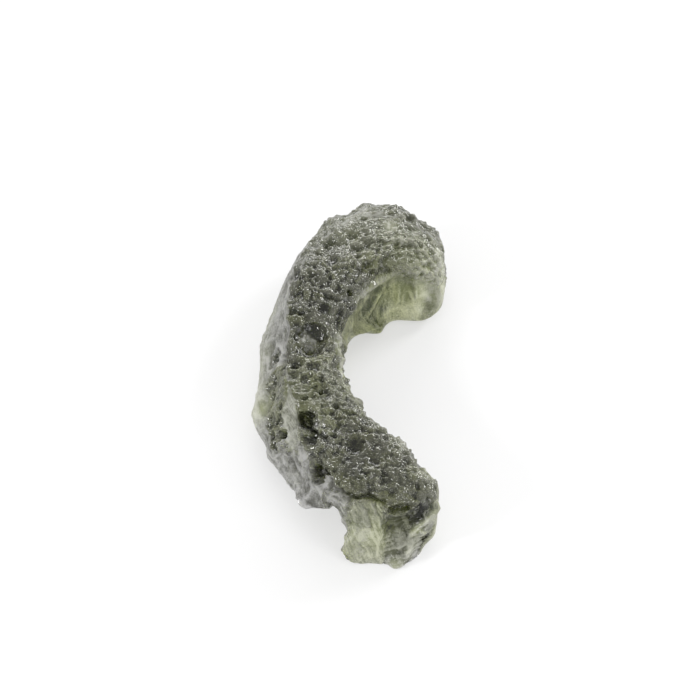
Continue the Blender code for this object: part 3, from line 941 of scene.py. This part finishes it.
# %% Flutes and ripples
FLUTES = (
    # flutes in each side step, depth
    (1.1, 0.16),
    (2.9, 0.13),
)
RIPPLE_PATH = ((3.0, -16.8, 4.4), *TOP_RIPPLE)
RIPPLES = (
    # mm from crest to crest, depth
    (1.40, 0.24),
    (0.42, 0.13),
)
wander = noise(points, 1.6, 51) + 0.4 * noise(points, 0.6, 52)
flutes = np.zeros(len(points))
for number, (per_side, depth) in enumerate(FLUTES):
    sway = 0.55 * wander + 0.5 * noise(points, 2.2, 60 + number)
    flutes -= depth * np.abs(np.sin(np.pi * (per_side * side + 0.10 * s + sway)))
pocks = 1 - (cells(bent, 0.45, 53) / 0.34) ** 2
steep = 0.45 + 0.55 * ramp(s, 12.0, 15.5)
worn_relief = 0.10 * tongue * noise(points, 0.35, 57)
worn_relief += (1 - 0.8 * tongue) * (steep * flutes - 0.035 * pocks)
worn_relief += 0.03 * noise(points, 0.25, 54)
from_blow = path_gap(points, RIPPLE_PATH)
ripples = np.zeros(len(points))
for step, depth in RIPPLES:
    ripples -= depth * np.abs(np.sin(np.pi * (from_blow / step + 0.5 * wander)))
hollow = ramp(s, 20.6, 21.2) * ramp(points[:, 0] + 0.4 * wander, 3.2, 3.7)
hollow = hollow * ramp(-normals[:, 1], 0.15, 0.35) * under_lip
broken_relief = hollow * ripples + (1 - hollow) * (0.2 * flutes - 0.03 * pocks)
flaked_relief = 0.08 * noise(points, 1.2, 55) + 0.03 * noise(points, 0.4, 56)
relief += worn * worn_relief + broken * broken_relief + flaked * flaked_relief
points = points + normals * relief[:, None]
print("flutes, pocks and ripples added")

# %% [markdown]
# ## Crests and hollows
#
# Crests are drawn paler and hollows darker. That is painted shade in the hollows and painted
# light on the crests, along with some real rubbing of the crests. How far a point stands out is
# its height over the mean of the skin about it, once over a narrow patch for the fine edges and
# once over a wide one.

# %% How far each point stands out
CREST_PATCHES = (
    # steps, height in mm that counts as full, share on etched skin, share on dull skin
    (2, 0.05, 0.30, 0.45),
    (7, 0.18, 0.65, 0.22),
)


def patch_mean(values, reach):
    """Average each point of the grid with all within reach steps along its row and column."""
    block = np.pad(values.reshape(ROWS, COLUMNS, 3), ((reach, reach), (0, 0), (0, 0)), mode="edge")
    block = sum(block[k:k + ROWS] for k in range(2 * reach + 1))
    block = sum(np.roll(block, k, axis=1) for k in range(-reach, reach + 1))
    return (block / (2 * reach + 1) ** 2).reshape(-1, 3)


# Painted relief shade: a point that stands out is drawn lighter, one that sinks in darker.
relief_shade = np.zeros(len(points))
for patch, full, etched_share, dull_share in CREST_PATCHES:
    stands_out = np.einsum("ij,ij->i", points - patch_mean(points, patch), normals)
    share = etched_share + (dull_share - etched_share) * (1 - etched)
    relief_shade += share * np.clip(stands_out / full, -1.5, 1.5)
    print("patch", patch, "stands out by", np.percentile(stands_out, [5, 95]).round(3), "mm")

# %% [markdown]
# ## Light and dark drawn in
#
# Some places are darker or lighter than their height says: the deep hollows get painted shade,
# the floors of the crater and of the scallop of the break get painted light, and one crest line
# is made lighter. They could be painted on a picture, but a picture would tie the stone to one
# image file. So they are named spots and paths too, each with a spread and a share.
# A share above 0 darkens, and one below 0 lightens.

# %% Painted shade and light in hollows, and drawn edges
SHADE_AND_LIGHT_SPOTS = (
    # x, y, z, spread, share
    # painted shade in the hollow of the break and its right side
    (3.8, -16.7, 3.9, 0.45, 1.7),
    (5.0, -16.8, 2.8, 0.60, 1.5),
    (5.8, -16.2, 3.4, 0.55, 1.7),
    (4.6, -15.9, 4.8, 0.50, 1.2),
    (7.5, -15.4, 4.8, 0.50, 0.9),
    # painted shade in the scars of the bay wall
    (2.9, 11.0, 5.2, 0.60, 1.2),
    (2.2, 9.6, 4.6, 0.50, 1.0),
    (3.6, 9.8, 2.4, 0.80, 0.8),
    (5.9, 12.1, 3.8, 0.60, 0.7),
    (7.0, 11.7, 4.6, 0.40, 0.9),
    # darker patches on the crown of the upper arm
    (4.3, 13.2, 7.5, 1.00, 0.7),
    (6.2, 13.4, 7.2, 0.80, 0.5),
    (6.4, 17.8, 7.3, 0.70, 0.6),
    (5.0, 18.6, 7.3, 0.60, 0.4),
    (2.6, 15.0, 8.1, 0.60, 0.4),
    # painted light on the scallop of the break, and on the crater with its bowl
    (2.0, -18.1, 2.4, 0.90, -0.5),
    (-4.2, 3.3, 6.8, 0.50, -1.9),
    (-3.4, 3.2, 6.7, 0.45, -1.7),
    (-3.6, 2.6, 6.6, 0.35, -1.4),
    # painted shade in the black hollows beside the tongue, and in the pocket below them
    (-3.4, -7.3, 7.0, 0.60, 1.5),
    (-2.9, -8.3, 7.2, 0.60, 1.5),
    (-4.0, -6.4, 6.9, 0.50, 1.0),
    (-2.7, -12.4, 6.2, 0.50, 1.0),
    # more painted shade in the hollow of the break
    (4.4, -16.4, 3.4, 0.60, 1.4),
    (6.6, -15.9, 4.0, 0.50, 1.2),
    (5.2, -16.0, 4.0, 0.60, 1.0),
)
TONE_PATHS = (
    # path, spread, share: the crest line, made lighter, and painted shade on the crater's shaded
    # rim, the tongue's shaded edge and the rim of the small bowl
    (((-5.5, 12.0, 7.0), (-5.9, 8.7, 6.6), (-6.0, 6.4, 6.9), (-5.7, 4.0, 7.4), (-5.4, 1.7, 7.4),
     (-6.0, 0.6, 6.6), (-6.8, 0.4, 5.6)), 0.14, -0.6),
    (((-4.9, 3.4, 7.4), (-4.8, 4.0, 7.5), (-4.5, 4.5, 7.5), (-4.0, 4.7, 7.5), (-3.6, 4.7, 7.2),
     (-3.2, 4.6, 7.0), (-2.9, 4.1, 6.7), (-2.7, 3.6, 6.6)), 0.24, 2.4),
    (((-5.3, -3.5, 7.5), (-5.2, -5.2, 7.0), (-4.9, -7.0, 6.2), (-4.6, -8.6, 5.6)), 0.50, 0.35),
    (((-4.1, 2.75, 6.7), (-3.9, 3.05, 6.7), (-3.6, 3.12, 6.7), (-3.25, 3.02, 6.65),
     (-3.1, 2.7, 6.6)), 0.09, 2.0),
)
CLUSTER_SHADE_CONTRAST = 1.2
# The clusters, spots and paths add painted shade and painted light to the relief shade.
for *place, reach, _ in CLUSTERS:
    relief_shade *= 1 + CLUSTER_SHADE_CONTRAST * bell(away(points, place), reach)
for *place, spread, share in SHADE_AND_LIGHT_SPOTS:
    relief_shade -= share * bell(away(points, place), spread)
for path, spread, share in TONE_PATHS:
    relief_shade -= share * bell(path_gap(points, path), spread)
relief_shade = 0.5 + 0.5 * (1 - 0.5 * tongue) * np.clip(relief_shade, -1.0, 1.0)
print(len(SHADE_AND_LIGHT_SPOTS), "spots and", len(TONE_PATHS), "paths of light and dark")

# %% [markdown]
# ## Grain
#
# Dull glass is drawn out in fine streaks: along the stone on the worn walls, upright on the flaked
# bay wall, and slanting down the pale half of the break. Every point gets a pair of numbers that
# say how far it lies across and along its streaks, and the material stretches one noise over
# them. In the hollow of the break the number across stays the same, so only broad patches are
# left there, bent as the ripples are.

# %% Streak directions
STREAK_WIDTH, STREAK_LENGTH = 0.30, 1.8
HOLLOW_ACROSS = 2.72
across, along_streak = 2.8 * side, 1.7 * s
across = np.where(flaked > 0.5, 0.6 * s, across)
along_streak = np.where(flaked > 0.5, 1.4 * side, along_streak)
slant = 0.90 * points[:, 0] + 0.45 * points[:, 2]
across = np.where(broken > 0.5, slant, across)
along_streak = np.where(broken > 0.5, points[:, 2] - 0.5 * points[:, 0], along_streak)
across = np.where(hollow > 0.5, HOLLOW_ACROSS, across)
along_streak = np.where(hollow > 0.5, points[:, 0] + 0.3 * points[:, 2], along_streak)
across, along_streak = (across + 0.25 * wander) / STREAK_WIDTH, along_streak / STREAK_LENGTH
streak = np.stack([across, along_streak, 0 * across], axis=1)
print("streak numbers run", streak.min(0).round(1), "to", streak.max(0).round(1))

# %% [markdown]
# ## Pale, light and black places
#
# Where the glass is thin it is pale and greenish, most of all at the rims of the bay wall and of
# the break, and the pale tint also paints in the glow of light through the thin glass. In the
# deep pits and the crater, small light facets are painted glints. The two deepest hollows are
# painted nearly black, without any green, as painted shade.

# %% Pale rims and thin glass, with painted glow
PALE_GLOW_SPOTS = (
    # x, y, z, spread, share
    (-8.7, -1.7, 1.9, 1.4, 1.0),
    (4.2, 17.3, 8.0, 0.7, 0.7),
    (3.2, 16.1, 8.0, 0.8, 0.3),
    (5.2, 14.6, 7.5, 0.9, 0.25),
    (1.5, 17.5, 7.5, 4.0, 0.22),
    (6.5, 15.5, 7.0, 3.2, 0.30),
    (8.6, 14.0, 5.6, 2.0, 0.85),
    (8.1, 12.2, 4.1, 2.2, 1.0),
    (1.5, -17.4, 3.4, 1.9, 0.65),
    (1.2, -16.8, 5.6, 1.0, 0.4),
    (6.4, -18.1, 1.2, 0.8, 0.4),
    (4.6, -18.9, 0.5, 0.7, 0.6),
    (3.5, -7.4, 6.6, 0.9, 0.5),
    (5.5, -9.5, 6.6, 1.0, 0.6),
    (7.3, -12.0, 6.0, 1.1, 0.6),
)
PALE_GLOW_EDGES = (
    # path, spread, share
    (((8.5, -13.6, 4.6), (8.7, -15.4, 3.1), (8.2, -16.8, 1.8), (6.4, -18.2, 0.8),
     (5.0, -18.9, 0.5)), 0.35, 0.35),
    (RIM, 0.22, 0.9),
    (LOW_RIM, 0.18, 0.7),
    (((-0.9, 3.8, 6.3), (-0.8, 3.0, 5.8), (-0.5, 2.1, 5.2), (-0.4, 1.2, 4.9), (-0.4, -0.4, 5.6)),
     0.45, 0.85),
    (((0.3, -0.6, 5.6), (0.9, -2.6, 6.2), (3.5, -7.2, 6.6), (5.6, -9.2, 6.6), (7.4, -12.0, 6.2)),
     0.8, 0.6),
    (((-6.4, 11.0, 3.4), (-7.6, 6.0, 3.0), (-8.0, 2.0, 2.6), (-8.6, -1.6, 2.0)), 0.9, 0.7),
    (((1.2, 8.9, 6.4), (3.0, 11.2, 6.4), (5.0, 12.2, 6.3), (8.0, 12.2, 5.4)), 0.5, 0.6),
)
# Painted glow: the pale tint adds to the paler colour of thin glass the glow of light through it.
pale_glow = np.zeros(len(points))
for *place, spread, share in PALE_GLOW_SPOTS:
    pale_glow = np.maximum(pale_glow, share * bell(away(points, place), spread))
for path, spread, share in PALE_GLOW_EDGES:
    pale_glow = np.maximum(pale_glow, share * bell(path_gap(points, path), spread))
pale_glow = np.clip(pale_glow * (1 + 0.4 * wander), 0.0, 1.0)
print(len(PALE_GLOW_SPOTS), "pale spots and", len(PALE_GLOW_EDGES), "pale edges")

# %% Painted glints, and painted shade in the black hollows
# A fine noise breaks each painted glint spot into facets a fifth of a millimetre across.
GLINT_FACET_SIZE = 0.22
PAINTED_GLINT_SPOTS = (
    # x, y, z, spread, share
    # painted glints on the floor of the crater and of the small bowl in it
    (-4.1, 3.7, 6.9, 0.26, 0.9),
    (-4.35, 3.2, 7.0, 0.22, 0.7),
    (-3.8, 3.8, 6.8, 0.22, 0.9),
    (-3.3, 3.5, 6.6, 0.28, 1.0),
    (-3.7, 2.75, 6.5, 0.20, 1.2),
    (-3.4, 2.7, 6.4, 0.20, 1.2),
    # painted glints in the pocked hollow in the outer wall
    (-5.6, -7.2, 5.3, 0.45, 1.3),
    (-5.3, -8.3, 4.6, 0.50, 1.4),
    (-6.1, -7.9, 4.3, 0.40, 1.0),
    (-4.9, -8.4, 5.1, 0.40, 1.0),
    (-6.4, -6.2, 4.3, 0.35, 0.9),
    (-6.0, -6.1, 4.7, 0.35, 0.9),
    (-5.6, -7.8, 4.9, 0.40, 1.2),
    (-6.2, -7.4, 4.9, 0.35, 1.0),
    # painted glints in the pocket at the lower left edge of the crown and the small hollow higher
    # up
    (-2.0, -13.8, 6.0, 0.35, 1.2),
    (-2.3, -14.3, 5.9, 0.35, 1.2),
    (-1.6, -14.7, 6.3, 0.35, 1.0),
    (-1.8, -15.1, 6.1, 0.30, 0.8),
    (-3.9, -10.5, 5.6, 0.40, 0.8),
    (-3.9, -9.9, 5.9, 0.35, 0.8),
    (-3.6, -7.9, 6.7, 0.25, 0.6),
    (-2.6, -7.8, 7.8, 0.40, 0.8),
    (-7.3, 2.3, 5.2, 0.50, 0.8),
)
# Painted shade: the two deepest hollows are drawn towards the near-black hollow tint.
BLACK_SHADE_SPOTS = (
    # x, y, z, spread
    (-3.5, -7.2, 7.0, 0.9),
    (-3.0, -8.4, 7.1, 0.8),
    (-2.7, -12.4, 6.2, 0.7),
)
SHADE_BLACKNESS = 0.8
# Painted glints: the light spots are drawn with the worn tint and lifted in the relief shade, so
# the worn mask carries painted glints as well as real wear.
light = np.zeros(len(points))
for *place, spread, share in PAINTED_GLINT_SPOTS:
    light = np.maximum(light, share * bell(away(points, place), spread))
glint_facets = ramp(noise(points, GLINT_FACET_SIZE, 58), -0.05, 0.10)
light = np.clip(light * (0.35 + 0.65 * glint_facets), 0.0, 1.0)
worn = np.maximum(worn, light)
relief_shade = np.clip(relief_shade + 0.8 * light, 0.0, 1.0)
# Painted shade in the black hollows, through the hollow mask.
for *place, spread in BLACK_SHADE_SPOTS:
    hollow = np.maximum(hollow, SHADE_BLACKNESS * bell(away(points, place), spread))
print(len(PAINTED_GLINT_SPOTS), "light spots and", len(BLACK_SHADE_SPOTS), "black hollows")

# %% [markdown]
# ## Place and wear
#
# The stone was drawn about its own plan origin. It is moved so that its box is centred, and
# whatever lies below the table is worn flat, which leaves the three spots it rests on.

# %% Wear the underside flat
PLAN_ORIGIN = (0.37, 1.72)
WEAR_FLAT = 0.30
points = points - np.array([*PLAN_ORIGIN, WEAR_FLAT])
points[:, 2] = np.maximum(points[:, 2], 0.0)
print("stone box in mm:", points.min(0).round(2), points.max(0).round(2))


# %% Make the mesh
def grid_faces(rows, columns):
    """Join a closed-round grid whose first and last rows are single poles, faces outward."""
    ring = 1 + np.arange(rows - 2)[:, None] * columns + np.arange(columns)
    here, there = ring[:-1], ring[1:]
    quads = np.stack([here, there, np.roll(there, -1, 1), np.roll(here, -1, 1)], axis=2)
    first = np.stack([np.zeros(columns, int), ring[0], np.roll(ring[0], -1)], axis=1)
    pole = 1 + (rows - 2) * columns
    last = np.stack([np.full(columns, pole), np.roll(ring[-1], -1), ring[-1]], axis=1)
    return [*quads.reshape(-1, 4).tolist(), *first.tolist(), *last.tolist()]


def keep_poles(values):
    """Reduce the first and last rows of a per-point array to one value each."""
    block = values.reshape(ROWS, COLUMNS, -1)
    between = block[1:-1].reshape(-1, block.shape[2])
    return np.vstack([block[0].mean(0), between, block[-1].mean(0)])


mesh = bpy.data.meshes.new("moldavite_skin")
mesh.from_pydata((keep_poles(points) * MM).tolist(), [], grid_faces(ROWS, COLUMNS))
smooth = np.maximum(flaked, broken)
for name, mask in (("worn", worn), ("smooth", smooth), ("pale_glow", pale_glow), ("relief_shade", relief_shade),
                   ("hollow", np.maximum(hollow, 0.5 * broken))):
    layer = mesh.attributes.new(name, "FLOAT", "POINT")
    layer.data.foreach_set("value", keep_poles(mask).ravel().astype(np.float32))
layer = mesh.attributes.new("streak", "FLOAT_VECTOR", "POINT")
layer.data.foreach_set("vector", keep_poles(streak).ravel().astype(np.float32))
mesh.shade_smooth()
stone = bpy.data.objects.new("moldavite_skin", mesh)
bpy.context.scene.collection.objects.link(stone)
print(len(mesh.polygons), "faces,", sum(len(p.vertices) - 2 for p in mesh.polygons), "triangles")

# %% [markdown]
# ## Natural glass, etched and worn
#
# Moldavite is a silica-rich glass with an index near 1.49. Its colour is in its depth: light
# that crosses a thin rim comes out pale green, and light that crosses the body hardly comes
# out at all. So the body gets an absorbing volume, and the surface scatters and shines; its
# tints also carry painted shade, painted glints and painted glow.
# A material for each skin would be simpler to read, but it would leave hard borders. One shader
# that reads the masks lets etched, worn and broken skin run into one another.

# %% Values of the glass
# Half of green light is lost in 8 mm, and half of blue in 3 mm.
GLASS_IOR = 1.49
GLASS_TRANSMISSION = 0.58
ABSORPTION_PER_MM = np.array([0.105, 0.09, 0.25])
# Each skin has one tint for its hollows and one for its crests. The relief shade mixes them:
# painted shade in the hollows, painted light on the crests.
ETCHED_TINTS = ("191a12", "7a7a6e")
CLEAR_TINTS = ("1c1e0e", "70724a")
WORN_TINTS = ("605f5a", "d6d5d5")
SMOOTH_TINTS = ("363f17", "cccea2")
# The dark hollow tint is painted shade in the hollow of the break and the black hollows.
HOLLOW_SHADE_TINTS = ("080906", "a4a4a0")
PALE_GLOW_TINTS = ("b0b494", "f4f4e8")
# Painted glints: the colour of the bright flecks on the etched crests.
GLINT_FLECK_TINT = "e0e0da"
ETCHED_ROUGHNESS = 0.10
WORN_ROUGHNESS = 0.50
SMOOTH_ROUGHNESS = 0.32
# Pattern sizes in mm. A pixel is 0.1 mm at the stone. Dust and etched beads are really as fine
# as 0.02 mm, too fine to show, so they are drawn one and a half to two pixels across.
WINDOW_SIZE = 2.2
MOTTLE_SIZE = 0.55
GRIT_SIZE = 0.45
PEPPER_SIZE = 0.30
BEAD_SIZE = 0.20
DUST_SIZE = 0.16
print("half of green light is lost in", round(np.log(2) / ABSORPTION_PER_MM[1], 2), "mm")

# %% Glass material: masks
# Clean etched glass gives the eye a dark ground full of small, sharp mirrors. Where it is worn
# it scatters light and turns an even grey.
glass = bpy.data.materials.new("moldavite glass, etched")
glass.use_nodes = True
tree = glass.node_tree
surface = tree.nodes["Principled BSDF"]
surface.inputs["IOR"].default_value = GLASS_IOR
surface.inputs["Transmission Weight"].default_value = GLASS_TRANSMISSION
# The worn mask carries painted glints as well as wear, the hollow mask painted shade, the pale glow
# mask painted glow, and the relief shade painted shade and light.
wear_and_glints_at, smooth_at, hollow_shade_at, pale_glow_at, relief_shade_at = (
    add(tree, "Attribute", attribute_name=name).outputs["Fac"]
    for name in ("worn", "smooth", "hollow", "pale_glow", "relief_shade")
)
dull = add(tree, "Math", {0: wear_and_glints_at, 1: smooth_at}, operation="MAXIMUM").outputs[0]
print("reads", sum(node.type == "ATTRIBUTE" for node in tree.nodes), "masks")

# %% Glass material: patterns
place = add(tree, "TexCoord").outputs["Object"]
window, mottle, grit, dust_and_glints = (
    add(tree, "TexNoise", {"Vector": place},
        {"Scale": 1 / (size * MM), "Detail": detail, "Roughness": rough}).outputs["Fac"]
    for size, detail, rough in ((WINDOW_SIZE, 1.0, 0.5), (MOTTLE_SIZE, 3.0, 0.75),
                                (GRIT_SIZE, 2.0, 0.6), (DUST_SIZE, 1.0, 0.5))
)
pepper, beads = (
    add(tree, "TexVoronoi", {"Vector": place}, {"Scale": 1 / (size * MM)},
        feature=feature).outputs["Distance"]
    for size, feature in ((PEPPER_SIZE, "F1"), (BEAD_SIZE, "SMOOTH_F1"))
)
streak_at = add(tree, "Attribute", attribute_name="streak").outputs["Vector"]
streaks = add(tree, "TexNoise", {"Vector": streak_at},
              {"Scale": 1.0, "Detail": 4.0, "Roughness": 0.65}).outputs["Fac"]
print("patterns from", WINDOW_SIZE, "down to", DUST_SIZE, "mm")

# %% Glass material: tone
# The tone runs from 0 in a hollow to 1 on a crest: painted shade and painted light. Etched skin
# is mottled and dull skin is streaked, twice as strongly in the hollow of the break, and both
# are dusty.
MOTTLE_SWING, STREAK_SWING, DUST_SWING = 0.20, 0.35, 0.18
mottled, streaked, dusty = (
    add(tree, "MapRange", {"Value": pattern},
        {"From Min": 0.35, "From Max": 0.65, "To Min": -swing, "To Max": swing}).outputs["Result"]
    for pattern, swing in ((mottle, MOTTLE_SWING), (streaks, STREAK_SWING), (dust_and_glints, DUST_SWING))
)
streaked = add(tree, "Math", {0: streaked, 1: hollow_shade_at, 2: streaked},
               operation="MULTIPLY_ADD").outputs[0]
tone = add(tree, "Mix", {0: dull, 2: mottled, 3: streaked}).outputs[0]
tone = add(tree, "Math", {0: tone, 1: dusty}, operation="ADD").outputs[0]
tone = add(tree, "Math", {0: relief_shade_at, 1: tone}, operation="ADD", use_clamp=True).outputs[0]
print("tone swings by", MOTTLE_SWING, "on etched skin and", STREAK_SWING, "on dull skin")

# %% Glass material: colour
# Each skin's tints cover those before it where its mask is 1. Clear windows show in the etched
# skin, and painted glints, as bright flecks, on its mottled crests.
clear, glint_fleck, glint_patches = (
    add(tree, "MapRange", {"Value": pattern},
        {"From Min": low, "From Max": high, "To Max": most}).outputs["Result"]
    for pattern, low, high, most in ((window, 0.50, 0.62, 0.5), (dust_and_glints, 0.56, 0.70, 1.0),
                                     (mottle, 0.50, 0.60, 1.0))
)
tint = None
for mask, (low, high) in ((None, ETCHED_TINTS), (clear, CLEAR_TINTS), (wear_and_glints_at, WORN_TINTS),
                          (smooth_at, SMOOTH_TINTS), (hollow_shade_at, HOLLOW_SHADE_TINTS),
                          (pale_glow_at, PALE_GLOW_TINTS)):
    coat = add(tree, "Mix", {0: tone}, {6: linear(low), 7: linear(high)}, data_type="RGBA")
    if mask:
        coat = add(tree, "Mix", {0: mask, 6: tint, 7: coat.outputs[2]}, data_type="RGBA")
    tint = coat.outputs[2]
for share in (glint_patches, relief_shade_at):
    glint_fleck = add(tree, "Math", {0: glint_fleck, 1: share}, operation="MULTIPLY").outputs[0]
tint = add(tree, "Mix", {0: glint_fleck, 6: tint}, {7: linear(GLINT_FLECK_TINT)}, data_type="RGBA").outputs[2]
tree.links.new(tint, surface.inputs["Base Color"])
print("etched glass runs from", " to ".join(ETCHED_TINTS), "and worn from", " to ".join(WORN_TINTS))

# %% Glass material: roughness and grain
# Forms down to a few tenths of a millimetre are in the mesh. Only the finest grain is bump:
# grit, etch pits and beads on etched skin, and dust and streaks on dull skin.
BUMP_HEIGHT = 0.10
rough = add(tree, "Mix", {0: wear_and_glints_at}, {2: ETCHED_ROUGHNESS, 3: WORN_ROUGHNESS}).outputs[0]
rough = add(tree, "Mix", {0: smooth_at, 2: rough}, {3: SMOOTH_ROUGHNESS}).outputs[0]
tree.links.new(rough, surface.inputs["Roughness"])
pits = add(tree, "Math", {0: pepper, 1: pepper}, operation="MULTIPLY").outputs[0]
etching = add(tree, "Math", {0: grit, 1: pits}, operation="SUBTRACT").outputs[0]
etching = add(tree, "Math", {0: beads, 2: etching}, {1: -0.6}, operation="MULTIPLY_ADD").outputs[0]
wear = add(tree, "Math", {0: dust_and_glints, 2: streaks}, {1: 0.6}, operation="MULTIPLY_ADD").outputs[0]
height = add(tree, "Mix", {0: dull, 2: etching, 3: wear}).outputs[0]
bump = add(tree, "Bump", {"Height": height}, {"Strength": 0.7, "Distance": BUMP_HEIGHT * MM})
tree.links.new(bump.outputs["Normal"], surface.inputs["Normal"])
print("grain up to", BUMP_HEIGHT, "mm high")

# %% Glass material: depth
# The volume takes from each colour its share of the density, so the strongest share is 1.
strongest = ABSORPTION_PER_MM.max()
depths = add(tree, "VolumeAbsorption")
depths.inputs["Color"].default_value = (*(1 - ABSORPTION_PER_MM / strongest).tolist(), 1.0)
depths.inputs["Density"].default_value = strongest / MM
tree.links.new(depths.outputs["Volume"], tree.nodes["Material Output"].inputs["Volume"])
mesh.materials.append(glass)
print(glass.name, "has", len(tree.nodes), "nodes")

# %% Put the stone in the frame
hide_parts(STONE)
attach(stone, "root")
